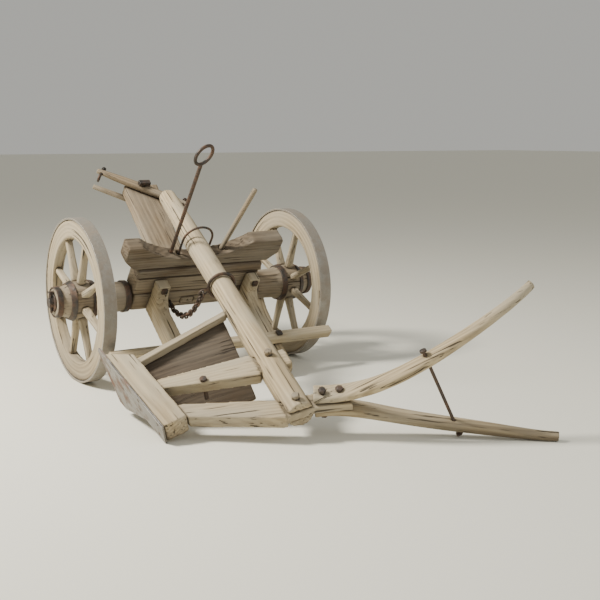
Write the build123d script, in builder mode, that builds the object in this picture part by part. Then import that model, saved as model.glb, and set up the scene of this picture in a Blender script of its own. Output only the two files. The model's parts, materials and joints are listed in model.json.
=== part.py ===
"""A walking plow with a two-wheeled forecarriage, at rest: the carriage has tipped back on its
arms and the plow lies on its right side, with its beam still on the bolster.

Millimetres, +Z up, +Y forward, +X right. The origin is on the ground under the axle's middle.
The carriage is drawn level about the axle's middle (carriage frame), then tipped back.
The plow is drawn along its beam (plow frame: +Y along the beam, origin on the beam's axis over
the seat), then laid on the ground.
"""
from build123d import *
from math import asin, atan2, cos, degrees, pi, radians, sin, sqrt
import os

os.makedirs("parts", exist_ok=True)

# ---------------------------------------------------------------- driving dimensions
slack = 0.3                 # between timbers that are only bolted together
running = 0.08              # radial clearance of a running fit
bolt_radius = 7

wheel_radius = 350
half_track = 515
rim_width = 54
tyre_thickness = 8
felloe_depth = 78
felloe_count = 4
spoke_count = 8
spoke_width = 40
spoke_depth = 30
nave_out = 112              # from the wheel's middle plane to the outer end
nave_in = 212               # and to the inner end
nave_radius = 82
nave_end_radius = 60
nave_neck_radius = 70
band_width = 22
band_thickness = 5
box_radius = 32             # iron box in the nave
spindle_radius = 21
spindle_in_axle = 70
washer_thickness = 5
washer_radius = 38
linchpin_radius = 5

axle_height = 100
axle_depth = 100
sill_height = 92
sill_half = 300
transom_height = 46
transom_half = 305
transom_depth = 98
bolster_height = 128
bolster_half = 375
bolster_depth = 74
bolster_bevel = 48
dish_half = 265
dish_depth = 84
dish_x = -42                # the beam crosses the bolster left of the middle

arm_reach = 500             # axle to the middle of an arm's round end
arm_depth = 88
arm_width = 60
arm_left_x = -192
arm_right_x = 254
knee_thickness = 55
crossbar_half = 533
crossbar_clear = 42         # the crossbar's middle stands this far behind the wheels' rims
crossbar_depth = 44
crossbar_height = 50

tongue_length = 672         # in front of the axle
tongue_thickness = 60
tongue_top = 20             # above the axle's middle
tongue_root_x = (-100, 50)
tongue_tip_x = (-62, 118)
tenon_half = 34
tenon_thickness = 36
evener_y = 664
evener_x = 12
evener_half = 235
evener_radius = 21
evener_angle = -36          # rest position, right end back
evener_pin_radius = 11
lower_evener_radius = 17

rod_x = -150
rod_radius = 8
rod_length = 408            # above the bolster's horns
rod_ring_radius = 45        # to the middle of the ring's bar
rod_ring_bar = 7
ring_facing = (0.32, -0.947, 0)
stake_x = 88
stake_lean = 9.5            # degrees outwards
stake_radius = 12
stake_length = 275
post_y = 8                  # rein rod, stake and keeper stand this far ahead of the axle's line
keeper_bar = 5
keeper_play = 16

beam_radius = 48
beam_front_radius = 40
beam_tail_radius = 52
beam_ahead = 400            # seat to the front end
beam_behind = 1246          # seat to the tail end
beam_heading = 8.3          # degrees to the right of the carriage
beam_angle = 11             # between beam and sole

heel_y = -1122
heel_z = -454
sole_length = 420
sole_width = 78
sole_height = 98
slade_thickness = 7
share_length = 120
share_wing = 148

standard_y = -948
standard_width = 125
standard_foot_width = 66
standard_thickness = 50
post_y_at_beam = -1210
post_width = 108
post_foot_width = 84
post_thickness = 54
waist = 34                  # thickness of both uprights inside and above the beam
post_slope = 0.342          # rearward for each unit of height
post_top = 178
breast_size = 30
breast_top = -578            # front face of the breast post at the beam
board_thickness = 13

ring_y = -397
ring_bar = 6.5
eye_radius = 18
eye_bar = 3.6
link_length = 46
link_width = 30
link_bar = 4
link_pitch = link_length - 4 * link_bar - 1.2
chain_sag = 75
staple_x = -120
ring_pin_radius = 8
staple_radius = 12
staple_bar = 5
ring_pin_stands = 6         # above the beam's surface, inside the ring's eye

# ---------------------------------------------------------------- derived heights in the carriage
axle_top = axle_height / 2
sill_top = axle_top + sill_height
transom_top = sill_top + transom_height
bolster_top = transom_top + bolster_height
seat_height = bolster_top - dish_depth
axle_half = half_track - nave_in - 2 * washer_thickness

# ---------------------------------------------------------------- how it comes to rest
tip = asin((wheel_radius - arm_depth / 2) / arm_reach)
carriage = Location((0, 0, wheel_radius), (degrees(tip), 0, 0))


def dot(a, b):
    return sum(p * q for p, q in zip(a, b))


def cross(a, b):
    return (a[1] * b[2] - a[2] * b[1], a[2] * b[0] - a[0] * b[2], a[0] * b[1] - a[1] * b[0])


def up_direction(handle, heel, handle_height, heel_height):
    """The unit vector n with n.handle = handle_height and n.heel = heel_height, leaning left."""
    aa, ab, bb = dot(handle, handle), dot(handle, heel), dot(heel, heel)
    det = aa * bb - ab * ab
    p = (handle_height * bb - heel_height * ab) / det
    q = (heel_height * aa - handle_height * ab) / det
    flat = tuple(p * h + q * k for h, k in zip(handle, heel))
    side = cross(handle, heel)
    rest = sqrt((1 - dot(flat, flat)) / dot(side, side))
    choices = [tuple(f + s * rest * c for f, c in zip(flat, side)) for s in (1, -1)]
    return min(choices, key=lambda n: n[0])


right_tip = (150, -1604, 800)
grip_radius = 17
heel_contact = (sole_width / 2, heel_y, heel_z)
tip_rests_at = grip_radius + 2
edge_y = bolster_depth / 2 * cos(tip) - seat_height * sin(tip)
edge_z = wheel_radius + bolster_depth / 2 * sin(tip) + seat_height * cos(tip)
slope = radians(25)
for _ in range(30):
    seat_z = edge_z + (beam_radius + 2 * slack) * cos(slope)
    up = up_direction(right_tip, heel_contact, tip_rests_at - seat_z, -seat_z)
    slope = asin(up[1])
heading = radians(beam_heading)
roll = atan2(-up[0], up[2])
forward = (sin(heading) * cos(slope), cos(heading) * cos(slope), sin(slope))
level_right = (cos(heading), -sin(heading), 0)
level_up = (-sin(heading) * sin(slope), -cos(heading) * sin(slope), cos(slope))
plow_right = tuple(cos(roll) * r - sin(roll) * u for r, u in zip(level_right, level_up))
plow_up = tuple(cos(roll) * u + sin(roll) * r for r, u in zip(level_right, level_up))
seat = (dish_x, edge_y - (beam_radius + 2 * slack) * sin(slope) * cos(heading), seat_z)
plow = Plane(origin=seat, x_dir=plow_right, z_dir=plow_up).location
level_beam = Plane(origin=seat, x_dir=level_right, z_dir=level_up).location
left_wheel = Location((-half_track, 0, wheel_radius), (0, 0, 180))
right_wheel = Location((half_track, 0, wheel_radius), (0, 0, 0))


def write(piece, name, place):
    """Sets a finished piece in its place, names it and writes its STEP file."""
    piece.part = piece.part.moved(place)
    piece.part.label = name
    export_step(piece.part, f"parts/{name}.step")


# ---------------------------------------------------------------- wheels
# Drawn about the axle's line (X), +X outwards, the middle plane at x = 0.
felloe_outer = wheel_radius - tyre_thickness - 0.1
felloe_inner = felloe_outer - felloe_depth
felloe_width = rim_width - 4
mortise_depth = 20
tenon = 22
joint_gap = 0.4


def spoke_planes():
    """A plane at each spoke, on the axle's line, facing outwards along the spoke."""
    for k in range(spoke_count):
        angle = (k + 0.5) * 2 * pi / spoke_count
        yield Plane(origin=(0, 0, 0), x_dir=(1, 0, 0), z_dir=(0, cos(angle), sin(angle)))


def wheel(side, place):
    with BuildPart() as tyre:
        with BuildSketch(Plane.YZ):
            Circle(wheel_radius)
            Circle(wheel_radius - tyre_thickness, mode=Mode.SUBTRACT)
        extrude(amount=rim_width / 2, both=True)
    write(tyre, f"{side}_tyre", place)

    with BuildPart() as felloes:
        with BuildSketch(Plane.YZ):
            Circle(felloe_outer)
            Circle(felloe_inner, mode=Mode.SUBTRACT)
            with PolarLocations(0, felloe_count):
                Rectangle(wheel_radius, joint_gap, align=(Align.MIN, Align.CENTER),
                          mode=Mode.SUBTRACT)
        extrude(amount=felloe_width / 2, both=True)
        for plane in spoke_planes():
            with BuildSketch(plane.offset(felloe_inner - 5)):
                Rectangle(tenon, tenon)
            extrude(amount=5 + mortise_depth, mode=Mode.SUBTRACT)
    write(felloes, f"{side}_felloes", place)

    with BuildPart() as spokes:
        for plane in spoke_planes():
            length = felloe_inner - 1.2 - nave_radius
            for part_way, share in ((0, 1), (0.5, 0.82), (1, 0.78)):
                with BuildSketch(plane.offset(nave_radius + part_way * length)):
                    RectangleRounded(spoke_width * share, spoke_depth * share, 9 * share)
            loft()
            with BuildSketch(plane.offset(nave_radius - mortise_depth + 0.5)):
                Rectangle(tenon - 0.4, tenon - 0.4)
            extrude(amount=length + 2 * mortise_depth - 0.8)
    write(spokes, f"{side}_spokes", place)

    profile = ((nave_out, nave_end_radius), (nave_out - 34, nave_end_radius + 3),
               (34, nave_radius), (-34, nave_radius), (-80, nave_neck_radius),
               (-nave_in + 34, nave_neck_radius - 4), (-nave_in, nave_neck_radius - 6))
    with BuildPart() as nave:
        with BuildSketch(Plane.XZ):
            with BuildLine():
                Polyline((nave_out, box_radius), *profile, (-nave_in, box_radius), close=True)
            make_face()
        revolve(axis=Axis.X)
        for plane in spoke_planes():
            with BuildSketch(plane.offset(nave_radius - mortise_depth)):
                Rectangle(tenon, tenon)
            extrude(amount=mortise_depth + 5, mode=Mode.SUBTRACT)
    write(nave, f"{side}_nave", place)

    def radius_at(x):
        for (x0, r0), (x1, r1) in zip(profile, profile[1:]):
            if x1 <= x <= x0:
                return r0 + (r1 - r0) * (x0 - x) / (x0 - x1)

    with BuildPart() as bands:
        for x in (nave_out - band_width, 36, -36 - band_width, -nave_in + 2):
            ends = (x, radius_at(x) + 0.1), (x + band_width, radius_at(x + band_width) + 0.1)
            with BuildSketch(Plane.XZ):
                with BuildLine():
                    Polyline(*ends, (x + band_width, ends[1][1] + band_thickness),
                             (x, ends[0][1] + band_thickness), close=True)
                make_face()
            revolve(axis=Axis.X)
    write(bands, f"{side}_nave_bands", place)

    with BuildPart() as box:
        with BuildSketch(Plane.YZ.offset(-nave_in)):
            Circle(box_radius - 0.05)
            Circle(spindle_radius + running, mode=Mode.SUBTRACT)
        extrude(amount=nave_in + nave_out)
    write(box, f"{side}_axle_box", place)

    pin_x = nave_out + washer_thickness + linchpin_radius + 2 * running + 1
    with BuildPart() as washers:
        for x in (-nave_in - washer_thickness - slack, nave_out + slack):
            with BuildSketch(Plane.YZ.offset(x)):
                Circle(washer_radius)
                Circle(spindle_radius + running, mode=Mode.SUBTRACT)
            extrude(amount=washer_thickness)
    write(washers, f"{side}_washers", place)

    with BuildPart() as spindle:
        with BuildSketch(Plane.YZ.offset(-nave_in - 2 * washer_thickness - spindle_in_axle)):
            Circle(spindle_radius)
        extrude(amount=spindle_in_axle + nave_in + nave_out + 3 * washer_thickness + 18)
        with Locations((pin_x, 0, 0)):
            Cylinder(linchpin_radius + running, 4 * spindle_radius, mode=Mode.SUBTRACT)
    write(spindle, f"{side}_spindle", place)

    with BuildPart() as linchpin:
        with Locations((pin_x, 0, 0)):
            Cylinder(linchpin_radius, 86)
        with Locations((pin_x, 0, 43)):
            Box(18, 24, 8)
    write(linchpin, f"{side}_linchpin", place)


wheel("left", left_wheel)
wheel("right", right_wheel)

# ---------------------------------------------------------------- carriage timbers
arm_x = (arm_left_x, arm_right_x)
knee_bolt_z = axle_top + sill_height * 0.78
arm_front = -axle_depth / 2 - slack
crossbar_y = -(wheel_radius + crossbar_clear)
bolt_bore = bolt_radius + 0.2
stack_bolt_x = (-150, 150)
head = 24
head_thickness = 10

with BuildPart() as axle:
    Box(2 * axle_half, axle_depth, axle_height)
    chamfer(axle.edges().filter_by(Axis.X), 4)
    for end in (-1, 1):
        with BuildSketch(Plane.YZ.offset(end * axle_half)):
            Circle(spindle_radius + running)
        extrude(amount=-end * (spindle_in_axle + 2), mode=Mode.SUBTRACT)
    with BuildSketch(Plane.XZ.offset(axle_depth / 2)):
        with Locations((staple_x, 0)):
            Circle(staple_bar + 0.1)
    extrude(amount=-30, mode=Mode.SUBTRACT)
    tenon_middle = (tongue_root_x[0] + tongue_root_x[1]) / 2
    tenon_z = tongue_top - tongue_thickness / 2
    with Locations((tenon_middle, 0, tenon_z)):
        Box(2 * tenon_half + slack, axle_depth + 2, tenon_thickness + slack, mode=Mode.SUBTRACT)
    with Locations(*[(x, 0, 0) for x in stack_bolt_x]):
        Hole(bolt_bore)
    with BuildSketch(Plane.XZ):
        with Locations(*[(x, 0) for x in arm_x]):
            Circle(bolt_bore)
    extrude(amount=axle_depth, both=True, mode=Mode.SUBTRACT)
write(axle, "axle_beam", carriage)

with BuildPart() as sill:
    with Locations((0, 0, axle_top + slack)):
        Box(2 * sill_half, axle_depth, sill_height - slack,
            align=(Align.CENTER, Align.CENTER, Align.MIN))
    chamfer(sill.edges().filter_by(Axis.Z), 6)
    with Locations(*[(x, 0, 0) for x in stack_bolt_x]):
        Hole(bolt_bore)
    with BuildSketch(Plane.XZ):
        with Locations(*[(x, knee_bolt_z) for x in arm_x]):
            Circle(bolt_bore)
    extrude(amount=axle_depth, both=True, mode=Mode.SUBTRACT)
write(sill, "axle_bed", carriage)

with BuildPart() as transom:
    with Locations((0, 0, sill_top + slack)):
        Box(2 * transom_half, transom_depth, transom_height - slack,
            align=(Align.CENTER, Align.CENTER, Align.MIN))
    chamfer(transom.edges().filter_by(Axis.X), 3)
    with Locations(*[(x, 0, 0) for x in stack_bolt_x]):
        Hole(bolt_bore)
    with BuildSketch(Plane.XY.offset(transom_top)):
        with Locations(*[(x, 0) for x in stack_bolt_x]):
            Circle(head * 0.75)
    extrude(amount=-head_thickness - 4, mode=Mode.SUBTRACT)
write(transom, "transom", carriage)

with BuildPart() as stack_bolts:
    with Locations(*[(x, 0, -axle_top - head_thickness) for x in stack_bolt_x]):
        Box(head, head, head_thickness, align=(Align.CENTER, Align.CENTER, Align.MIN))
        Cylinder(bolt_radius, axle_height + sill_height + transom_height + head_thickness - 3,
                 align=(Align.CENTER, Align.CENTER, Align.MIN))
    with BuildSketch(Plane.XY.offset(transom_top - 4)):
        with Locations(*[(x, 0) for x in stack_bolt_x]):
            RegularPolygon(head * 0.55, 6)
    extrude(amount=-head_thickness)
write(stack_bolts, "axle_bolts", carriage)

foot_z = transom_top + 22
with BuildPart() as bolster:
    with BuildSketch(Plane.XZ):
        with BuildLine():
            low, high = transom_top + slack, bolster_top
            left, right = dish_x - dish_half, dish_x + dish_half
            Polyline((right, high), (bolster_half, high), (bolster_half, low + bolster_bevel),
                     (bolster_half - bolster_bevel, low), (-bolster_half + bolster_bevel, low),
                     (-bolster_half, low + bolster_bevel), (-bolster_half, high), (left, high))
            ThreePointArc((left, high), (dish_x, seat_height), (right, high))
        make_face()
    extrude(amount=bolster_depth / 2, both=True)
    with Locations(Location((stake_x, post_y, foot_z), (0, stake_lean, 0))):
        Cylinder(stake_radius + running, 2 * bolster_height, mode=Mode.SUBTRACT)
    for x, radius in ((rod_x, rod_radius + running),
                      (dish_x - keeper_play - beam_radius - keeper_bar, keeper_bar + 6),
                      (dish_x + keeper_play + beam_radius + keeper_bar, keeper_bar + 6)):
        with BuildSketch(Plane.XY.offset(foot_z - 0.5)):
            with Locations((x, post_y)):
                Circle(radius)
        extrude(amount=bolster_height, mode=Mode.SUBTRACT)
write(bolster, "bolster", carriage)

for side, x in (("left", arm_left_x), ("right", arm_right_x)):
    with BuildPart() as arm:
        with BuildSketch(Plane.YZ.offset(x)):
            with BuildLine():
                half = arm_depth / 2
                Polyline((-arm_reach, -half), (arm_front, -half), (arm_front, sill_top),
                         (arm_front - knee_thickness, sill_top),
                         (arm_front - knee_thickness, half + 62))
                ThreePointArc((arm_front - knee_thickness, half + 62),
                              (arm_front - knee_thickness - 26, half + 18),
                              (arm_front - knee_thickness - 88, half))
                Line((arm_front - knee_thickness - 88, half), (-arm_reach, half))
                ThreePointArc((-arm_reach, half), (-arm_reach - half, 0), (-arm_reach, -half))
            make_face()
        extrude(amount=arm_width / 2, both=True)
        for z in (0, knee_bolt_z):
            with BuildSketch(Plane.XZ):
                with Locations((x, z)):
                    Circle(bolt_bore)
            extrude(amount=arm_reach / 2, mode=Mode.SUBTRACT)
        with Locations((x, crossbar_y, 0)):
            Cylinder(bolt_bore, 2 * arm_depth, mode=Mode.SUBTRACT)
    write(arm, f"{side}_arm", carriage)

knee_back = arm_front - knee_thickness
with BuildPart() as arm_bolts:
    for x in arm_x:
        with Locations((x, knee_back, knee_bolt_z)):
            Box(head, head_thickness, head, align=(Align.CENTER, Align.MAX, Align.CENTER))
        with BuildSketch(Plane.XZ.offset(-knee_back)):
            with Locations((x, knee_bolt_z)):
                Circle(bolt_radius)
        extrude(amount=-(axle_depth / 2 - knee_back + 16))
        with Locations((x, axle_depth / 2 + 2, knee_bolt_z)):
            Box(head, head_thickness, head, align=(Align.CENTER, Align.MIN, Align.CENTER))
write(arm_bolts, "arm_bolts", carriage)

bar_low = arm_depth / 2 + slack
with BuildPart() as crossbar:
    with Locations((0, crossbar_y, bar_low)):
        Box(2 * crossbar_half, crossbar_depth, crossbar_height,
            align=(Align.CENTER, Align.CENTER, Align.MIN))
    chamfer(crossbar.edges().filter_by(Axis.X), 4)
    with Locations(*[(x, crossbar_y, bar_low) for x in arm_x]):
        Cylinder(bolt_bore, 4 * crossbar_height, mode=Mode.SUBTRACT)
write(crossbar, "crossbar", carriage)

with BuildPart() as crossbar_bolts:
    for x in arm_x:
        with Locations((x, crossbar_y, bar_low + crossbar_height)):
            Box(head, head, head_thickness, align=(Align.CENTER, Align.CENTER, Align.MIN))
        with Locations((x, crossbar_y, -arm_depth / 2 - 14)):
            Cylinder(bolt_radius, arm_depth + crossbar_height + 20,
                     align=(Align.CENTER, Align.CENTER, Align.MIN))
        with Locations((x, crossbar_y, -arm_depth / 2)):
            Box(head, head, head_thickness, align=(Align.CENTER, Align.CENTER, Align.MAX))
write(crossbar_bolts, "crossbar_bolts", carriage)

# ---------------------------------------------------------------- tongue and evener
tongue_front = axle_depth / 2 + tongue_length
tongue_low = tongue_top - tongue_thickness
with BuildPart() as tongue:
    with BuildSketch(Plane.XY.offset(tongue_low)):
        with BuildLine():
            near = axle_depth / 2 + slack
            Polyline((tongue_root_x[0], near), (tongue_root_x[1], near),
                     (tongue_tip_x[1], tongue_front), (tongue_tip_x[0], tongue_front),
                     close=True)
        make_face()
    extrude(amount=tongue_thickness)
    chamfer(tongue.edges().group_by(Axis.Z)[-1], 5)
    with BuildSketch(Plane.XY.offset(tenon_z - tenon_thickness / 2)):
        with Locations((tenon_middle, near + 1)):
            Rectangle(2 * tenon_half, axle_depth + 2, align=(Align.CENTER, Align.MAX))
    extrude(amount=tenon_thickness)
    with Locations((evener_x, evener_y, 0)):
        Cylinder(evener_pin_radius + running, 4 * tongue_thickness, mode=Mode.SUBTRACT)
write(tongue, "tongue", carriage)

evener_z = tongue_top + evener_radius + slack
evener_place = carriage * Location((evener_x, evener_y, evener_z), (0, 0, evener_angle))
with BuildPart() as evener:
    for end in (-1, 1):
        for x, radius in ((0, evener_radius), (evener_half * 0.6, evener_radius * 0.86),
                          (evener_half, evener_radius * 0.6)):
            with BuildSketch(Plane.YZ.offset(end * x)):
                RectangleRounded(2 * radius, 1.9 * radius, 0.8 * radius)
        loft()
    Cylinder(evener_pin_radius + running, 4 * evener_radius, mode=Mode.SUBTRACT)
    for end in (-1, 1):
        with Locations((end * (evener_half - 26), 0, 0)):
            Cylinder(6.2, 4 * evener_radius, rotation=(90, 0, 0), mode=Mode.SUBTRACT)
write(evener, "evener", evener_place)

pin_low = tongue_low - 2 * lower_evener_radius - 2 * slack - 26
with BuildPart() as evener_pin:
    with Locations((0, 0, pin_low)):
        Cylinder(evener_pin_radius, evener_z + evener_radius + 5 - pin_low,
                 align=(Align.CENTER, Align.CENTER, Align.MIN))
    with Locations((0, 0, evener_z + evener_radius + slack)):
        Box(56, 24, 20, align=(Align.CENTER, Align.CENTER, Align.MIN))
    with Locations((0, 0, pin_low + 13)):
        Cylinder(3.2, 50, rotation=(90, 0, 0))
write(evener_pin, "evener_pin", carriage * Location((evener_x, evener_y, 0)))

with BuildPart() as evener_irons:
    for end in (-1, 1):
        hook_x = end * (evener_half - 26)
        with Locations((hook_x, 0, 0)):
            Cylinder(6, 66, rotation=(90, 0, 0))
        with Locations((hook_x, 31, 0)):
            Cylinder(11, 6, rotation=(90, 0, 0))
        with Locations(Plane(origin=(hook_x, -49, 0), z_dir=(1, 0, 0))):
            Torus(17, 5)
write(evener_irons, "evener_irons", evener_place)

lower_z = tongue_low - lower_evener_radius - slack
with BuildPart() as lower_evener:
    for end in (-1, 1):
        for x, radius in ((0, lower_evener_radius), (evener_half, lower_evener_radius * 0.72)):
            with BuildSketch(Plane.YZ.offset(end * x)):
                RectangleRounded(2 * radius, 1.9 * radius, 0.8 * radius)
        loft()
    Cylinder(evener_pin_radius + running, 4 * evener_radius, mode=Mode.SUBTRACT)
write(lower_evener, "lower_evener",
      carriage * Location((evener_x, evener_y, lower_z), (0, 0, evener_angle)))

# ---------------------------------------------------------------- rein rod, stake and keeper
ring_z = bolster_top + rod_length + rod_ring_radius
with BuildPart() as rein_rod:
    with Locations((rod_x, post_y, foot_z)):
        Cylinder(rod_radius, ring_z - rod_ring_radius - foot_z,
                 align=(Align.CENTER, Align.CENTER, Align.MIN))
    with Locations(Plane(origin=(rod_x, post_y, ring_z), z_dir=ring_facing)):
        Torus(rod_ring_radius, rod_ring_bar)
write(rein_rod, "rein_rod", carriage)

stake_place = Location((stake_x, post_y, foot_z), (0, stake_lean, 0))
with BuildPart() as stake:
    Cylinder(stake_radius, bolster_top + stake_length - foot_z,
             align=(Align.CENTER, Align.CENTER, Align.MIN))
    chamfer(stake.edges().group_by(Axis.Z)[-1], 5)
write(stake, "stake", carriage * stake_place)

keeper_half = beam_radius + keeper_play + keeper_bar
keeper_spring = seat_height + beam_radius + 28     # room for the beam to pitch in it
with BuildPart() as keeper:
    with BuildLine(Plane.XZ.offset(-post_y)) as hoop:
        Polyline((dish_x - keeper_half, foot_z + 10), (dish_x - keeper_half, keeper_spring))
        ThreePointArc((dish_x - keeper_half, keeper_spring),
                      (dish_x, keeper_spring + keeper_half),
                      (dish_x + keeper_half, keeper_spring))
        Line((dish_x + keeper_half, keeper_spring), (dish_x + keeper_half, foot_z + 10))
    with BuildSketch(Plane(origin=hoop.line @ 0, z_dir=hoop.line % 0)):
        Circle(keeper_bar)
    sweep()
write(keeper, "beam_keeper", carriage)

# ---------------------------------------------------------------- plow beam
# Drawn in the plow frame: +Y along the beam, its axis through the origin.
with BuildPart() as beam:
    with BuildSketch(Plane.YZ):
        with BuildLine():
            Polyline((beam_ahead, 0), (beam_ahead, beam_front_radius),
                     (beam_ahead - 300, beam_radius), (ring_y - 60, beam_radius),
                     (-beam_behind + 260, beam_tail_radius), (-beam_behind, beam_tail_radius),
                     (-beam_behind, 0), close=True)
        make_face()
    revolve(axis=Axis.Y)
    chamfer(beam.edges().filter_by(GeomType.CIRCLE).sort_by(Axis.Y)[-1], 6)
    for middle, size in ((standard_y, standard_width - 30), (post_y_at_beam, post_width - 24)):
        with BuildSketch(Plane.XY):
            with Locations((0, middle)):
                Rectangle(waist + slack, size + 2 * slack)
        extrude(amount=2 * beam_radius, both=True, mode=Mode.SUBTRACT)
    with BuildSketch(Plane.XY.offset(-2 * beam_radius)):
        with Locations((0, breast_top - breast_size / 2)):
            Rectangle(16.4, 20.4)
    extrude(amount=2 * beam_radius - 20, mode=Mode.SUBTRACT)
    with Locations((0, standard_y, 0), (0, post_y_at_beam, 0)):
        Cylinder(10.2, 4 * beam_radius, rotation=(0, 90, 0), mode=Mode.SUBTRACT)
    with Locations((0, ring_y + ring_pin_radius + ring_bar + 1, 0)):
        Cylinder(ring_pin_radius + 0.05, 4 * beam_radius, mode=Mode.SUBTRACT)
write(beam, "beam", plow)

# ---------------------------------------------------------------- sole, slade and share
sole_tilt = radians(beam_angle)


def on_sole(ahead, above=0.0):
    """(y, z) of a point this far ahead of the heel and above the sole's underside."""
    return (heel_y + ahead * cos(sole_tilt) + above * sin(sole_tilt),
            heel_z - ahead * sin(sole_tilt) + above * cos(sole_tilt))


def sole_plane(above=0.0):
    """The plane of the sole's underside: local x to the right, local y ahead of the heel."""
    y, z = on_sole(0, above)
    return Plane(origin=(0, y, z), x_dir=(1, 0, 0),
                 z_dir=(0, sin(sole_tilt), cos(sole_tilt)))


upright_foot = {"standard": 190, "post": 4, "breast": 412}
with BuildPart() as sole:
    with BuildSketch(Plane.YZ):
        with BuildLine():
            Polyline(on_sole(0, slade_thickness), on_sole(0, sole_height),
                     on_sole(sole_length, sole_height),
                     on_sole(sole_length + 70, slade_thickness + 10),
                     on_sole(sole_length + 70, slade_thickness),
                     close=True)
        make_face()
    extrude(amount=sole_width / 2, both=True)
    chamfer(sole.edges().filter_by(Axis.X).sort_by(Axis.Y)[:1], 8)
write(sole, "sole", plow)

share_start = sole_length - 20
nail_radius = 8
nails_at = [(x, y) for x in (-22, 22) for y in (40, 190, 330)]
with BuildPart() as slade:
    with BuildSketch(sole_plane()):
        Rectangle(sole_width, share_start - slack, align=(Align.CENTER, Align.MIN))
        with Locations(*nails_at):
            Circle(nail_radius + 0.2, mode=Mode.SUBTRACT)
    extrude(amount=slade_thickness - 0.1)
write(slade, "slade_plate", plow)

tip_ahead = share_start + share_length
wing_root = 150
with BuildPart() as share_iron:
    with BuildSketch(sole_plane()):
        with BuildLine():
            side = sole_width / 2
            Polyline((-side, share_start), (-side - 8, tip_ahead), (-side + 14, tip_ahead + 16),
                     (share_wing, share_start + 16), (share_wing - 6, share_start - 44),
                     (side + slack, wing_root), (side + slack, share_start), close=True)
        make_face()
    extrude(amount=slade_thickness - 0.1)
write(share_iron, "share", plow)

with BuildPart() as sole_nails:
    with BuildSketch(sole_plane(0.3)):
        with Locations(*nails_at):
            Circle(nail_radius)
    extrude(amount=slade_thickness - 0.5)
write(sole_nails, "slade_nails", plow)

# ---------------------------------------------------------------- uprights
shoulder = -(beam_tail_radius + 0.5)     # the beam's underside, where the uprights' shoulders sit

with BuildPart() as standard:
    with BuildSketch(Plane.YZ):
        with BuildLine():
            front, back = standard_y + standard_width / 2, standard_y - standard_width / 2
            foot = upright_foot["standard"]
            Polyline((front, shoulder), on_sole(foot + standard_foot_width, sole_height + slack),
                     on_sole(foot, sole_height + slack), (back, shoulder), close=True)
        make_face()
    extrude(amount=standard_thickness / 2, both=True)
    with BuildSketch(Plane.YZ):
        with Locations((standard_y, shoulder)):
            Rectangle(standard_width - 30, beam_tail_radius * 2 + 22,
                      align=(Align.CENTER, Align.MIN))
    extrude(amount=waist / 2, both=True)
    with Locations((0, standard_y, 0)):
        Cylinder(10.2, 4 * beam_radius, rotation=(0, 90, 0), mode=Mode.SUBTRACT)
write(standard, "front_standard", plow)

post_foot = upright_foot["post"]
with BuildPart() as post:
    with BuildSketch(Plane.YZ):
        with BuildLine():
            front = post_y_at_beam + post_width / 2
            back = post_y_at_beam - post_width / 2
            Polyline((front, shoulder), on_sole(post_foot + post_foot_width, sole_height + slack),
                     on_sole(post_foot, sole_height + slack), (back, shoulder), close=True)
        make_face()
    extrude(amount=post_thickness / 2, both=True)
    with BuildSketch(Plane.YZ):
        with BuildLine():
            above = beam_tail_radius + 1
            reach = post_slope * (post_top - above)
            Polyline((front - 12, shoulder), (front - 12, above), (front - 12 - reach, post_top),
                     (back + 12 - reach, post_top), (back + 12, above), (back + 12, shoulder),
                     close=True)
        make_face()
    extrude(amount=waist / 2, both=True)
    with Locations((0, post_y_at_beam, 0)):
        Cylinder(10.2, 4 * beam_radius, rotation=(0, 90, 0), mode=Mode.SUBTRACT)
    handle_bolts_at = [(post_y_at_beam - post_slope * (z - above), z) for z in (92, 148)]
    with Locations(*[(0, y, z) for y, z in handle_bolts_at]):
        Cylinder(bolt_radius + 0.2, 200, rotation=(0, 90, 0), mode=Mode.SUBTRACT)
write(post, "rear_post", plow)

with BuildPart() as breast:
    with BuildSketch(Plane.YZ):
        with BuildLine():
            low = on_sole(upright_foot["breast"] - breast_size, sole_height + slack)
            low_front = on_sole(upright_foot["breast"], sole_height + slack)
            top_front = breast_top
            Polyline(low, low_front, (top_front, -beam_radius - 4),
                     (top_front - breast_size, -beam_radius - 4), close=True)
        make_face()
    extrude(amount=breast_size / 2, both=True)
    with BuildSketch(Plane.XY.offset(-beam_radius - 4)):
        with Locations((0, top_front - breast_size / 2)):
            Rectangle(16, 20)
    extrude(amount=22)
write(breast, "breast_post", plow)

with BuildPart() as pegs:
    for y in (standard_y, post_y_at_beam):
        with Locations((0, y, 0)):
            Cylinder(10, 2 * beam_radius + 34, rotation=(0, 90, 0))
            with Locations((-beam_radius - 14, 0, 0)):
                Cylinder(15, 14, rotation=(0, 90, 0))
write(pegs, "beam_pegs", plow)

# ---------------------------------------------------------------- moldboard
board_x = breast_size / 2 + slack
middle_plane = Plane(origin=(0, heel_y, -250), x_dir=(1, 0, 0),
                     z_dir=(0, sin(sole_tilt / 2), cos(sole_tilt / 2)))
board_sections = ((sole_plane(sole_height + 3), upright_foot["breast"] - 2, 112, 190),
                  (middle_plane, 470, 132, 285),
                  (Plane(origin=(0, heel_y, -62), z_dir=(0, 0, 1)), top_front - heel_y - 2, 158, 345))
with BuildPart() as moldboard:
    for plane, front_y, wing_x, wing_back in board_sections:
        front = Vector(board_x, front_y)
        wing = Vector(wing_x, front_y - wing_back)
        middle = front * 0.55 + wing * 0.45 + Vector(-16, -6)
        away = Vector(front.Y - wing.Y, wing.X - front.X).normalized() * board_thickness
        with BuildSketch(plane):
            with BuildLine():
                ThreePointArc(front, middle, wing)
                Line(wing, wing + away)
                ThreePointArc(wing + away, middle + away, front + away)
                Line(front + away, front)
            make_face()
    loft()
write(moldboard, "moldboard", plow)

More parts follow.
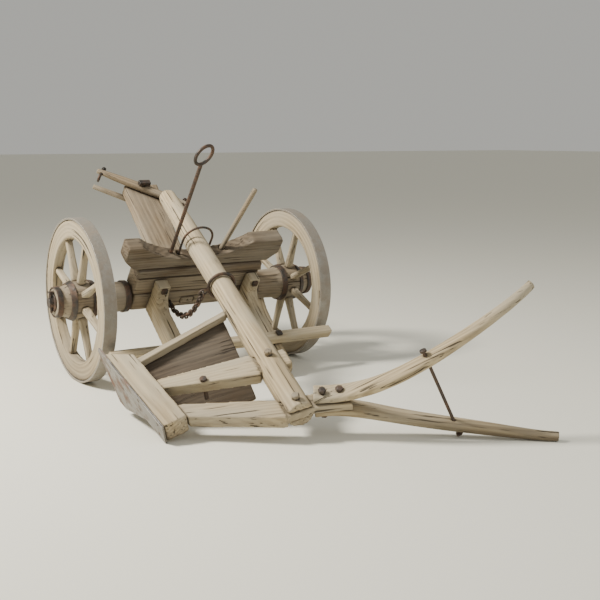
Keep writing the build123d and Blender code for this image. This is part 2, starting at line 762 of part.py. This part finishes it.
strut_z = -250
with BuildPart() as struts:
    with BuildSketch(Plane.YZ.offset(standard_thickness / 2 + 0.2)):
        with Locations((standard_y + 6, strut_z)):
            Circle(8)
    extrude(amount=40)
    with BuildSketch(Plane.YZ.offset(-standard_thickness / 2 - 0.2)):
        with Locations((standard_y + 6, strut_z)):
            RegularPolygon(14, 6)
    extrude(amount=-9)
write(struts, "moldboard_strut", plow)

# ---------------------------------------------------------------- handles
def handle(stations):
    """A handle lofted through elliptical sections: (x, y, z, half width, half thickness)."""
    points = [Vector(*s[:3]) for s in stations]
    with BuildPart() as piece:
        for k, (x, y, z, wide, thin) in enumerate(stations):
            ahead = points[min(k + 1, len(points) - 1)] - points[max(k - 1, 0)]
            along = ahead.normalized()
            across = Vector(1, 0, 0) - along * along.X
            with BuildSketch(Plane(origin=points[k], x_dir=across.normalized(), z_dir=along)):
                RectangleRounded(2 * thin, 2 * wide, 0.8 * min(thin, wide))
        loft()
        with Locations((0, post_y_at_beam, post_top / 2)):
            Box(2 * cheek, 400, 2 * post_top, mode=Mode.SUBTRACT)
        with Locations(*[(0, y, z) for y, z in handle_bolts_at]):
            Cylinder(bolt_radius + 0.2, 400, rotation=(0, 90, 0), mode=Mode.SUBTRACT)
        with BuildSketch(Plane(origin=rung_from, z_dir=rung_axis)):
            Circle(rung_radius + 0.1)
        extrude(amount=2 * rung_length, both=True, mode=Mode.SUBTRACT)
    return piece


cheek = waist / 2 + slack
half_root = 16
left_stations = ((-cheek - half_root, -1204, 66, 38, half_root),
                 (-cheek - half_root, -1240, 150, 38, half_root),
                 (-72, -1298, 270, 33, 18), (-132, -1330, 440, 28, 19),
                 (-210, -1336, 640, 22, 18), (-290, -1307, 855, 16, 16))
right_stations = ((cheek + half_root, -1204, 66, 38, half_root),
                  (cheek + half_root, -1240, 150, 38, half_root),
                  (72, -1312, 300, 32, 18), (118, -1420, 500, 27, 19),
                  (140, -1510, 650, 22, 18), (*right_tip, grip_radius, grip_radius))
rung_from, rung_to = Vector(*left_stations[3][:3]), Vector(*right_stations[3][:3])
rung_axis = (rung_to - rung_from).normalized()
rung_length = (rung_to - rung_from).length
rung_radius = 6
left_handle = handle(left_stations)
write(left_handle, "left_handle", plow)
right_handle = handle(right_stations)
write(right_handle, "right_handle", plow)

outer = cheek + 2 * half_root
with BuildPart() as handle_bolts:
    for y, z in handle_bolts_at:
        with Locations((0, y, z)):
            Cylinder(bolt_radius, 2 * outer + 26, rotation=(0, 90, 0))
        for end in (-1, 1):
            with BuildSketch(Plane.YZ.offset(end * (outer + 3))):
                with Locations((y, z)):
                    RegularPolygon(14, 6)
            extrude(amount=end * 9)
write(handle_bolts, "handle_bolts", plow)

with BuildPart() as rung:
    with BuildSketch(Plane(origin=rung_from - rung_axis * 44, z_dir=rung_axis)):
        Circle(rung_radius)
    extrude(amount=rung_length + 88)
    for start in (-42, rung_length + 34):
        with BuildSketch(Plane(origin=rung_from + rung_axis * start, z_dir=rung_axis)):
            Circle(12)
        extrude(amount=8)
write(rung, "handle_rung", plow)

# ---------------------------------------------------------------- draft ring and chain
ring_radius = beam_radius + 1.2 + ring_bar
eye_reach = ring_radius + ring_bar + eye_radius - 1
lug = Vector(-0.94, 0, -0.34)
staple_stands = staple_radius + staple_bar + 1
staple_middle = carriage * Location((staple_x, -axle_depth / 2 - staple_stands, 0))
chain_start = staple_middle.position
chain_end = (level_beam * Location(lug * eye_reach + Vector(0, ring_y, 0))).position


def slack_point(t):
    """A point on the chain's slack curve, t from 0 at the staple to 1 at the ring's eye."""
    return chain_start + (chain_end - chain_start) * t - Vector(0, 0, 4 * chain_sag * t * (1 - t))


def walk(distance, steps=400):
    """The point and direction this far along the slack curve."""
    here, gone = slack_point(0), 0
    for k in range(1, steps + 1):
        there = slack_point(k / steps)
        stride = (there - here).length
        if gone + stride >= distance:
            break
        here, gone = there, gone + stride
    return here + (there - here) * ((distance - gone) / stride), (there - here).normalized()


curve = [slack_point(k / 400) for k in range(401)]
curve_length = sum((b - a).length for a, b in zip(curve, curve[1:]))
bar_to_bar = link_length - 2 * link_bar
link_count = 2 * (int((curve_length - bar_to_bar) / link_pitch) // 2 + 1)
pitch = (curve_length - bar_to_bar) / (link_count - 1)
last_along = walk(bar_to_bar / 2 + (link_count - 1) * pitch)[1]
pull = Vector(*[last_along.dot(Vector(*axis)) for axis in (level_right, forward, level_up)])
eye_normal = lug.cross(pull).normalized()     # the eye lies in the plane of the chain's pull

with BuildPart() as draft_ring:
    with Locations(Plane(origin=(0, ring_y, 0), z_dir=(0, 1, 0))):
        Torus(ring_radius, ring_bar)
    with Locations(Plane(origin=lug * eye_reach + Vector(0, ring_y, 0), z_dir=eye_normal)):
        Torus(eye_radius, eye_bar)
write(draft_ring, "draft_ring", level_beam)

with BuildPart() as ring_pin:
    with Locations((0, ring_y + ring_pin_radius + ring_bar + 1, 0)):
        Cylinder(ring_pin_radius, 2 * (beam_radius + ring_pin_stands))
write(ring_pin, "ring_pin", plow)

with BuildPart() as staple:
    Torus(staple_radius, staple_bar, rotation=(0, 90, 0))
    with BuildSketch(Plane.XZ.offset(-staple_radius + 3)):
        Circle(staple_bar)
    extrude(amount=-34)
write(staple, "chain_staple", staple_middle)

# The chain hangs in a slack curve, its links turned so that the last one fits the ring's eye.
eye_facing = (level_beam * Location(eye_normal)).position - level_beam.position
first_face = Vector(1, 0, 0)
last_face = last_along.cross(first_face.cross(last_along)).normalized()
wanted_face = eye_facing.cross(last_along).normalized()
twist = degrees(atan2(last_face.cross(wanted_face).dot(last_along), last_face.dot(wanted_face)))
twist = (twist + 90) % 180 - 90      # a link looks the same after half a turn
bend = link_width / 2 - link_bar
straight = bar_to_bar / 2 - bend
with BuildPart() as chain:
    for k in range(link_count):
        middle, along = walk(bar_to_bar / 2 + k * pitch)
        across = first_face if k % 2 == 0 else first_face.cross(along)
        face = along.cross(across).normalized()
        face = face.rotate(Axis((0, 0, 0), tuple(along)), twist * k / (link_count - 1))
        with BuildLine(Plane(origin=middle, x_dir=along, z_dir=face)) as path:
            Line((-straight, -bend), (straight, -bend))
            ThreePointArc((straight, -bend), (straight + bend, 0), (straight, bend))
            Line((straight, bend), (-straight, bend))
            ThreePointArc((-straight, bend), (-straight - bend, 0), (-straight, -bend))
        with BuildSketch(Plane(origin=path.line @ 0, z_dir=path.line % 0)):
            Circle(link_bar)
        sweep(path=path.line)
write(chain, "draft_chain", Location())
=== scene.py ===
"""The looks of a walking plow with a wheeled forecarriage: weathered timber and forged iron.

Metres, in the row frame: +Z up, +Y forward, +X right, the origin on the ground under the axle.
"""
import json
import bmesh
import bpy
import numpy as np
from math import radians, tan
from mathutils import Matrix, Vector, noise

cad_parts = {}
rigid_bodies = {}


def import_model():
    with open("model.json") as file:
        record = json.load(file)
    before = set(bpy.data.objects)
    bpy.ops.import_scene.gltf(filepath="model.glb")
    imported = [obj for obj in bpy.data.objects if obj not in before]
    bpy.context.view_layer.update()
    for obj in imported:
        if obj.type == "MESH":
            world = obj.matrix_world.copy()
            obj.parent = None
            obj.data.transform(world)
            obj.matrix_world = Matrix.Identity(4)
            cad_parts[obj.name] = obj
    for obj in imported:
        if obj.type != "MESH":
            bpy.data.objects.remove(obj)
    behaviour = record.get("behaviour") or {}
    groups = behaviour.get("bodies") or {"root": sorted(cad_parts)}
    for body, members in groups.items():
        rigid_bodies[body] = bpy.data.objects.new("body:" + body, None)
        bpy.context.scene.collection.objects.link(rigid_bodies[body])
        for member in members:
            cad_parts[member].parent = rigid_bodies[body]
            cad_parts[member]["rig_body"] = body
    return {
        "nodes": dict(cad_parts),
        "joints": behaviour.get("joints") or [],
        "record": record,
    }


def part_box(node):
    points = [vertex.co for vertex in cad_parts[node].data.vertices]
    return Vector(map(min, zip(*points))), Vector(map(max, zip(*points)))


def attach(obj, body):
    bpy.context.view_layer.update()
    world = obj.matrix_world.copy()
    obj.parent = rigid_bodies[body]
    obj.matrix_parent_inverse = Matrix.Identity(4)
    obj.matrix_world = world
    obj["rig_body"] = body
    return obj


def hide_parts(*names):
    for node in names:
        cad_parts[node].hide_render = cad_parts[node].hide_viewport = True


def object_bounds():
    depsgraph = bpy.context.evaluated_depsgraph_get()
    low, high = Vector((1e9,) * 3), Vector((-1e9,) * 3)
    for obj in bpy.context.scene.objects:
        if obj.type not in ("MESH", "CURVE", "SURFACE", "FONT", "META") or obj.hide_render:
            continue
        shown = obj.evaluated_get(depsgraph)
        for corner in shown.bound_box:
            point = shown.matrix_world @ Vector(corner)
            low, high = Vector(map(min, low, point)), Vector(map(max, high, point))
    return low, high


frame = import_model()
cad_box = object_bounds()

# ---------------------------------------------------------------- directions, from the frame
joints = {j["name"]: j for j in frame["joints"]}
mounts = {m["name"]: m for m in frame["record"]["mounts"]}
ACROSS = Vector((1, 0, 0))
CARRIAGE_UP = Vector(joints["rein_rod_turn"]["axis"])
CARRIAGE_AHEAD = CARRIAGE_UP.cross(ACROSS)
ALONG_BEAM = -Vector(joints["plow_roll"]["axis"])
SOLE_UP = -Vector(mounts["slade_face"]["axis"])
SOLE_RIGHT = ALONG_BEAM.cross(SOLE_UP).normalized()
SOLE_AHEAD = SOLE_UP.cross(SOLE_RIGHT)
EVENER_ALONG = Vector(mounts["right_evener_eye"]["axis"])
HUB = Vector(joints["left_wheel_spin"]["pos_m"])


def long_axis(node):
    """The direction that a node's points spread along most, found by repeated projection."""
    points = [v.co.copy() for v in frame["nodes"][node].data.vertices]
    centre = sum(points, Vector()) / len(points)
    low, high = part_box(node)
    axis = (high - low).normalized()
    for _ in range(12):
        pulled = Vector()
        for p in points:
            pulled += (p - centre) * (p - centre).dot(axis)
        axis = pulled.normalized()
    return axis


# ---------------------------------------------------------------- shader building blocks
class Graph:
    """A material's node tree, with short calls for the nodes used here."""

    def __init__(self, name):
        self.material = bpy.data.materials.new(name)
        self.material.use_nodes = True
        self.tree = self.material.node_tree
        self.tree.nodes.clear()
        self.shader = self.add("ShaderNodeBsdfPrincipled")
        output = self.add("ShaderNodeOutputMaterial")
        self.link(self.shader.outputs["BSDF"], output.inputs["Surface"])
        self.place = self.add("ShaderNodeTexCoord").outputs["Object"]

    def add(self, kind):
        return self.tree.nodes.new(kind)

    def link(self, source, target):
        self.tree.links.new(source, target)

    def put(self, socket, value):
        if isinstance(value, bpy.types.NodeSocket):
            self.link(value, socket)
        else:
            socket.default_value = value

    def math(self, operation, a, b=0.0, clamp=False):
        node = self.add("ShaderNodeMath")
        node.operation = operation
        node.use_clamp = clamp
        self.put(node.inputs[0], a)
        self.put(node.inputs[1], b)
        return node.outputs[0]

    def turned(self, place, rotation):
        node = self.add("ShaderNodeMapping")
        self.put(node.inputs["Vector"], place)
        node.inputs["Rotation"].default_value = rotation
        return node.outputs[0]

    def scaled(self, place, scale, shift=(0, 0, 0)):
        node = self.add("ShaderNodeMapping")
        self.put(node.inputs["Vector"], place)
        node.inputs["Location"].default_value = shift
        node.inputs["Scale"].default_value = scale
        return node.outputs[0]

    def noise(self, place, scale=1.0, detail=4.0, roughness=0.55, colour=False):
        node = self.add("ShaderNodeTexNoise")
        self.put(node.inputs["Vector"], place)
        node.inputs["Scale"].default_value = scale
        node.inputs["Detail"].default_value = detail
        node.inputs["Roughness"].default_value = roughness
        return node.outputs["Color" if colour else "Fac"]

    def between(self, value, low, high, out_low=0.0, out_high=1.0):
        node = self.add("ShaderNodeMapRange")
        self.put(node.inputs["Value"], value)
        node.inputs["From Min"].default_value = low
        node.inputs["From Max"].default_value = high
        node.inputs["To Min"].default_value = out_low
        node.inputs["To Max"].default_value = out_high
        return node.outputs[0]

    def mix(self, factor, a, b):
        node = self.add("ShaderNodeMix")
        node.data_type = "RGBA"
        self.put(node.inputs["Factor"], factor)
        for name, value in (("A", a), ("B", b)):
            socket = [s for s in node.inputs if s.name == name and s.type == "RGBA"][0]
            self.put(socket, (*value, 1) if isinstance(value, tuple) else value)
        return [s for s in node.outputs if s.type == "RGBA"][0]

    def split(self, place):
        node = self.add("ShaderNodeSeparateXYZ")
        self.put(node.inputs[0], place)
        return node.outputs

    def joined(self, x, y, z):
        node = self.add("ShaderNodeCombineXYZ")
        for socket, value in zip(node.inputs, (x, y, z)):
            self.put(socket, value)
        return node.outputs[0]

    def soft_edges(self, radius):
        """A normal rounded at the edges, and how near an edge each point is."""
        bevel = self.add("ShaderNodeBevel")
        bevel.samples = 4
        bevel.inputs["Radius"].default_value = radius
        flat = self.add("ShaderNodeNewGeometry").outputs["Normal"]
        turn = self.add("ShaderNodeVectorMath")
        turn.operation = "DOT_PRODUCT"
        self.link(bevel.outputs[0], turn.inputs[0])
        self.link(flat, turn.inputs[1])
        near = self.between(turn.outputs["Value"], 0.99, 0.80)
        return bevel.outputs[0], near

    def crevices(self, reach):
        """How deep in a corner or joint each point lies: the mask for the painted shade and grime there."""
        hollow = self.add("ShaderNodeAmbientOcclusion")
        hollow.samples = 4
        hollow.inputs["Distance"].default_value = reach
        return self.between(hollow.outputs["AO"], 0.85, 0.35)

    def relief(self, height, distance, normal):
        bump = self.add("ShaderNodeBump")
        bump.inputs["Strength"].default_value = 1.0
        bump.inputs["Distance"].default_value = distance
        self.link(height, bump.inputs["Height"])
        self.link(normal, bump.inputs["Normal"])
        self.link(bump.outputs[0], self.shader.inputs["Normal"])


GROUND_STAIN = 0.16          # height up to which soil has stained the wood
EDGE_WEAR = 0.8              # how far edges are rubbed bare where they are most worn
SOIL = (0.105, 0.075, 0.048)
# Dark brown laid into corners and joints: painted shade, and grime there too.
SHADE_AND_GRIME = (0.075, 0.055, 0.038)
CRACK = (0.035, 0.027, 0.02)
SILVER = (0.31, 0.29, 0.24)


def finish_wood(graph, grain, light, dark, seed, grey):
    """Colour, roughness and relief of weathered wood, its grain along grain's own Z."""
    shift = (seed * 1.7, seed * 0.9, seed * 0.37)
    bend = graph.add("ShaderNodeVectorMath")
    bend.operation = "MULTIPLY_ADD"
    graph.link(graph.noise(graph.scaled(grain, (4, 4, 1.1), shift), detail=2, colour=True),
               bend.inputs[0])
    bend.inputs[1].default_value = (0.045, 0.045, 0)
    graph.link(grain, bend.inputs[2])
    bent = bend.outputs[0]

    rings = graph.add("ShaderNodeTexWave")
    rings.wave_type = "RINGS"
    rings.rings_direction = "Z"
    graph.link(graph.scaled(bent, (1, 1, 0.05), (0.11 + 0.01 * seed, 0.07, 0)),
               rings.inputs["Vector"])
    for name, value in (("Scale", 22), ("Distortion", 4.5), ("Detail", 3), ("Detail Scale", 2.2)):
        rings.inputs[name].default_value = value
    fibre = graph.noise(graph.scaled(bent, (320, 320, 9), shift), detail=5)
    streak = graph.noise(graph.scaled(bent, (60, 60, 1.7), shift), detail=4)
    patch = graph.noise(graph.scaled(grain, (7, 7, 3), shift), detail=4)
    check = graph.noise(graph.scaled(bent, (95, 95, 2.1), shift[::-1]), detail=3, roughness=0.6)
    crack = graph.between(check, 0.615, 0.665)

    tone = graph.math("MULTIPLY", rings.outputs["Fac"], 0.24)
    tone = graph.math("ADD", tone, graph.math("MULTIPLY", fibre, 0.34))
    tone = graph.math("ADD", tone, graph.math("MULTIPLY", streak, 0.62))
    colour = graph.mix(graph.between(tone, 0.32, 0.92), dark, light)
    silver = tuple(0.36 * c + 0.64 * g for c, g in zip(light, SILVER))
    weathered = graph.math("MULTIPLY", graph.between(patch, 0.38, 0.60), grey, clamp=True)
    colour = graph.mix(weathered, colour, silver)
    normal, edge = graph.soft_edges(0.004)
    rubbed = graph.math("MULTIPLY", edge, graph.between(patch, 0.30, 0.60, 0.2, EDGE_WEAR), clamp=True)
    colour = graph.mix(rubbed, colour, tuple(min(1.0, 1.28 * c) for c in light))
    # Corners and joints darkened by how enclosed they are: painted shade, and grime in them.
    shade_and_grime = graph.math("MULTIPLY", graph.crevices(0.05), 0.62)
    colour = graph.mix(shade_and_grime, colour, SHADE_AND_GRIME)
    height = graph.split(graph.place)[2]
    stain = graph.between(height, GROUND_STAIN, 0.0, 0.0, 0.75)
    stain = graph.math("MULTIPLY", stain, graph.between(streak, 0.35, 0.62), clamp=True)
    colour = graph.mix(stain, colour, SOIL)
    colour = graph.mix(graph.math("MULTIPLY", crack, 0.88), colour, CRACK)
    graph.link(colour, graph.shader.inputs["Base Color"])
    graph.link(graph.between(streak, 0.3, 0.7, 0.90, 0.68), graph.shader.inputs["Roughness"])
    graph.shader.inputs["Specular IOR Level"].default_value = 0.28

    groove = graph.math("ADD", graph.math("MULTIPLY", fibre, 0.35),
                        graph.math("MULTIPLY", rings.outputs["Fac"], 0.08))
    groove = graph.math("ADD", groove, graph.math("MULTIPLY", streak, 0.35))
    groove = graph.math("SUBTRACT", groove, graph.math("MULTIPLY", crack, 1.3))
    graph.relief(groove, 0.0024, normal)
    return graph.material


def timber(name, along, light, dark, seed, grey=0.8):
    """Wood whose grain runs along one direction."""
    graph = Graph(name)
    turn = along.rotation_difference(Vector((0, 0, 1))).to_euler()
    return finish_wood(graph, graph.turned(graph.place, turn), light, dark, seed, grey)


def wheel_timber(name, light, dark, seed, radial):
    """Wood bent round the wheel (felloes), or running out from its middle (spokes)."""
    graph = Graph(name)
    x, y, z = graph.split(graph.place)
    y = graph.math("SUBTRACT", y, HUB.y)
    z = graph.math("SUBTRACT", z, HUB.z)
    angle = graph.math("ARCTAN2", z, y)
    out = graph.math("SQRT", graph.math("ADD", graph.math("MULTIPLY", y, y),
                                        graph.math("MULTIPLY", z, z)))
    arc = graph.math("MULTIPLY", angle, 0.30)
    grain = graph.joined(arc, x, out) if radial else graph.joined(out, x, arc)
    return finish_wood(graph, grain, light, dark, seed, grey=0.6)


def iron(name, dark, rust, amount, metal=0.75, seed=0.0):
    """Forged iron: hammer marks, scale pits and patches of rust, rubbed brighter on its edges."""
    graph = Graph(name)
    place = graph.scaled(graph.place, (1, 1, 1), (seed, seed * 0.7, -seed))
    patch = graph.noise(place, 22, 6, 0.62)
    grain = graph.noise(place, 260, 5, 0.6)
    hammer = graph.add("ShaderNodeTexVoronoi")
    graph.link(place, hammer.inputs["Vector"])
    hammer.inputs["Scale"].default_value = 70
    rusted = graph.math("MULTIPLY", graph.between(patch, 0.40, 0.60), amount, clamp=True)
    speckle = graph.between(grain, 0.42, 0.60, 0.55, 1.0)
    rusted = graph.math("MULTIPLY", rusted, speckle, clamp=True)
    normal, edge = graph.soft_edges(0.0025)
    colour = graph.mix(graph.between(grain, 0.3, 0.7), tuple(0.72 * c for c in dark), dark)
    colour = graph.mix(rusted, colour, rust)
    colour = graph.mix(graph.math("MULTIPLY", edge, 0.55), colour,
                       tuple(min(1.0, 2.3 * c + 0.05) for c in dark))
    graph.link(colour, graph.shader.inputs["Base Color"])
    graph.link(graph.between(rusted, 0.0, 1.0, 0.46, 0.88), graph.shader.inputs["Roughness"])
    graph.link(graph.between(rusted, 0.0, 1.0, metal, 0.1), graph.shader.inputs["Metallic"])
    height = graph.math("ADD", graph.math("MULTIPLY", hammer.outputs["Distance"], 0.5),
                        graph.math("MULTIPLY", grain, 0.4))
    graph.relief(height, 0.0016, normal)
    return graph.material


def scoured(name, along, seed):
    """Iron worn bright by the soil: fine scratches along the way it travels, and rust between."""
    graph = Graph(name)
    turn = along.rotation_difference(Vector((0, 0, 1))).to_euler()
    place = graph.turned(graph.place, turn)
    scratch = graph.noise(graph.scaled(place, (420, 420, 7), (seed, 0, seed)), detail=4)
    patch = graph.noise(place, 13, 5, 0.6)
    normal, edge = graph.soft_edges(0.002)
    colour = graph.mix(graph.between(scratch, 0.35, 0.68), (0.12, 0.11, 0.10), (0.30, 0.285, 0.26))
    rusted = graph.between(patch, 0.47, 0.66)
    colour = graph.mix(rusted, colour, (0.16, 0.085, 0.05))
    colour = graph.mix(graph.math("MULTIPLY", edge, 0.6), colour, (0.55, 0.53, 0.50))
    graph.link(colour, graph.shader.inputs["Base Color"])
    graph.link(graph.between(rusted, 0.0, 1.0, 0.36, 0.85), graph.shader.inputs["Roughness"])
    graph.link(graph.between(rusted, 0.0, 1.0, 0.85, 0.1), graph.shader.inputs["Metallic"])
    graph.relief(scratch, 0.0008, normal)
    return graph.material


# ---------------------------------------------------------------- hewn timber
def welded(node):
    """A copy of a CAD node's mesh with its split vertices joined."""
    mesh = frame["nodes"][node].data.copy()
    work = bmesh.new()
    work.from_mesh(mesh)
    bmesh.ops.remove_doubles(work, verts=work.verts, dist=1e-5)
    work.to_mesh(mesh)
    work.free()
    return mesh


RIPPLE = 9.0                 # hollows per metre, about, across the grain


def hewn(node, material, along, voxel, depth, seed):
    """A hand-hewn version of a CAD timber: rounded edges, and shallow hollows cut into it."""
    cad = frame["nodes"][node]
    piece = bpy.data.objects.new(f"{node}_timber", welded(node))
    bpy.context.scene.collection.objects.link(piece)
    skin = piece.modifiers.new("skin", "REMESH")
    skin.mode = "VOXEL"
    skin.voxel_size = voxel
    ease = piece.modifiers.new("ease", "SMOOTH")
    ease.factor = 0.5
    ease.iterations = 4
    dg = bpy.context.evaluated_depsgraph_get()
    mesh = bpy.data.meshes.new_from_object(piece.evaluated_get(dg), depsgraph=dg)
    piece.modifiers.clear()
    piece.data = mesh
    mesh.materials.clear()
    mesh.materials.append(material)
    offset = Vector((seed * 3.1, seed * 1.3, seed * 2.3))
    count = len(mesh.vertices)
    places, normals = np.empty(3 * count), np.empty(3 * count)
    mesh.vertices.foreach_get("co", places)
    mesh.vertices.foreach_get("normal", normals)
    cuts = np.empty(count)
    for number, place in enumerate(places.reshape(-1, 3)):
        here = Vector(place)
        run = here.dot(along)
        round_about = here - along * run
        coarse = noise.noise((round_about * RIPPLE + along * run * RIPPLE * 0.35) + offset)
        split = noise.noise(round_about * 75 + along * run * 3.2 + offset * 2)
        cuts[number] = depth * (0.5 + 0.5 * coarse) + 1.1 * depth * max(0.0, split - 0.18)
    mesh.vertices.foreach_set("co", places - normals * np.repeat(cuts, 3))
    mesh.update()
    for polygon in mesh.polygons:
        polygon.use_smooth = True
    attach(piece, cad["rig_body"])
    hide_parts(node)
    return piece


slots = {s["node"]: s["material_slot"] for s in frame["record"]["subparts"]}

# Weathered straw-grey timber where the light falls on it; the darker brown copies on the carriage are
# painted shade.
STRAW = (0.60, 0.49, 0.31), (0.27, 0.205, 0.12)
ASH = (0.53, 0.435, 0.285), (0.23, 0.18, 0.11)
# Brown timber; on the carriage this darker tone is painted shade.
BROWN_AND_SHADE = (0.33, 0.255, 0.165), (0.13, 0.096, 0.06)
# Darker still for the transom and bolster: painted shade.
DARK_SHADE = (0.215, 0.165, 0.11), (0.08, 0.06, 0.04)

# Near-black for the moldboard: painted shade over its wood.
MOLDBOARD_SHADE = (0.13, 0.098, 0.068), (0.052, 0.038, 0.026)

carriage_parts = (("axle_beam", ACROSS, BROWN_AND_SHADE), ("axle_bed", ACROSS, BROWN_AND_SHADE),
                  ("transom", ACROSS, DARK_SHADE), ("bolster", ACROSS, DARK_SHADE),
                  ("crossbar", ACROSS, STRAW), ("tongue", CARRIAGE_AHEAD, BROWN_AND_SHADE),
                  ("left_arm", CARRIAGE_AHEAD, STRAW), ("right_arm", CARRIAGE_AHEAD, STRAW),
                  ("evener", EVENER_ALONG, BROWN_AND_SHADE), ("lower_evener", EVENER_ALONG, BROWN_AND_SHADE),
                  ("stake", long_axis("stake"), BROWN_AND_SHADE))
plow_parts = (("beam", ALONG_BEAM, STRAW), ("sole", SOLE_AHEAD, STRAW),
              ("front_standard", long_axis("front_standard"), STRAW),
              ("rear_post", long_axis("rear_post"), STRAW),
              ("breast_post", long_axis("breast_post"), ASH), ("moldboard", long_axis("moldboard"), MOLDBOARD_SHADE),
              ("left_handle", long_axis("left_handle"), STRAW),
              ("right_handle", long_axis("right_handle"), STRAW),
              ("beam_pegs", SOLE_RIGHT, BROWN_AND_SHADE))
# Carriage pieces whose darker wood is painted shade.
CARRIAGE_IN_SHADE = ("axle_beam", "axle_bed", "transom", "bolster", "tongue")
FINE = ("stake", "beam_pegs", "breast_post", "evener", "lower_evener", "moldboard",
        "left_handle", "right_handle")
for number, (node, along, (light, dark)) in enumerate(carriage_parts + plow_parts):
    # Less silvering keeps the painted shade dark on the moldboard and the carriage.
    grey = 0.2 if node == "moldboard" else 0.5 if node in CARRIAGE_IN_SHADE else 0.8
    material = timber(f"{node}_wood", along, light, dark, seed=number + 1, grey=grey)
    fine = node in FINE
    hewn(node, material, along, voxel=0.0035 if fine else 0.006,
         depth=0.0012 if fine else 0.0035, seed=number)

for number, side in enumerate(("left", "right")):
    rim = wheel_timber(f"{side}_felloe_wood", *ASH, seed=31 + number, radial=False)
    spoke = wheel_timber(f"{side}_spoke_wood", *ASH, seed=41 + number, radial=True)
    nave = timber(f"{side}_nave_wood", ACROSS, *BROWN_AND_SHADE, seed=51 + number)
    hewn(f"{side}_felloes", rim, ACROSS, voxel=0.006, depth=0.0015, seed=number)
    hewn(f"{side}_spokes", spoke, ACROSS, voxel=0.004, depth=0.001, seed=number + 5)
    hewn(f"{side}_nave", nave, ACROSS, voxel=0.0045, depth=0.0015, seed=number + 9)

# ---------------------------------------------------------------- ironwork
RUST = (0.17, 0.088, 0.047)
black_iron = iron("black_iron", (0.075, 0.068, 0.062), RUST, 0.75)
tyre_iron = iron("tyre_iron", (0.33, 0.305, 0.26), (0.21, 0.145, 0.09), 0.5, metal=0.45, seed=3.0)
chain_iron = iron("chain_iron", (0.085, 0.075, 0.068), RUST, 0.9, seed=7.0)
share_steel = scoured("share_steel", SOLE_AHEAD, 2.0)
finishes = {"worn_steel": share_steel, "tyre_iron": tyre_iron, "dark_iron": black_iron}
for name, node in frame["nodes"].items():
    if slots[name] in finishes:
        metal = chain_iron if "chain" in name else finishes[slots[name]]
        for slot in node.material_slots:
            slot.material = metal

# ---------------------------------------------------------------- floor, light and camera
FLOOR_HALF = 60
ground = bpy.data.meshes.new("floor")
work = bmesh.new()
bmesh.ops.create_grid(work, x_segments=1, y_segments=1, size=FLOOR_HALF)
work.to_mesh(ground)
work.free()
floor = bpy.data.objects.new("floor", ground)
bpy.context.scene.collection.objects.link(floor)
paper = Graph("floor_paper")
paper.shader.inputs["Base Color"].default_value = (0.80, 0.78, 0.68, 1)
paper.shader.inputs["Roughness"].default_value = 0.95
ground.materials.append(paper.material)

world = bpy.data.worlds.new("studio")
bpy.context.scene.world = world
world.use_nodes = True
sky = world.node_tree.nodes["Background"]
sky.inputs["Color"].default_value = (0.93, 0.92, 0.86, 1)
sky.inputs["Strength"].default_value = 0.5

VIEW_AHEAD = Vector((0.5417, 0.8406, 0))
VIEW_LEFT = Vector((-VIEW_AHEAD.y, VIEW_AHEAD.x, 0))
low, high = cad_box
centre = (low + high) / 2


def lamp(name, place, size, power, colour):
    light = bpy.data.lights.new(name, "AREA")
    light.shape = "DISK"
    light.size = size
    light.energy = power
    light.color = colour
    holder = bpy.data.objects.new(name, light)
    bpy.context.scene.collection.objects.link(holder)
    holder.location = place
    holder.rotation_euler = (centre - place).to_track_quat("-Z", "Y").to_euler()


lamp("key", centre + VIEW_LEFT * 3.2 - VIEW_AHEAD * 0.9 + Vector((0, 0, 3.2)), 1.1, 430,
     (1.0, 0.96, 0.88))
lamp("fill", centre - VIEW_LEFT * 3.5 - VIEW_AHEAD * 3.0 + Vector((0, 0, 2.6)), 4.0, 60,
     (0.92, 0.96, 1.0))

EYE = Vector((-1.9986, -4.0340, 1.0297))
VIEW_DOWN = radians(9.2)
camera_data = bpy.data.cameras.new("camera")
camera_data.sensor_width = 36
camera_data.lens = 60
camera = bpy.data.objects.new("camera", camera_data)
bpy.context.scene.collection.objects.link(camera)
camera.location = EYE
aim = VIEW_AHEAD - Vector((0, 0, tan(VIEW_DOWN)))
camera.rotation_euler = aim.to_track_quat("-Z", "Y").to_euler()
bpy.context.scene.camera = camera
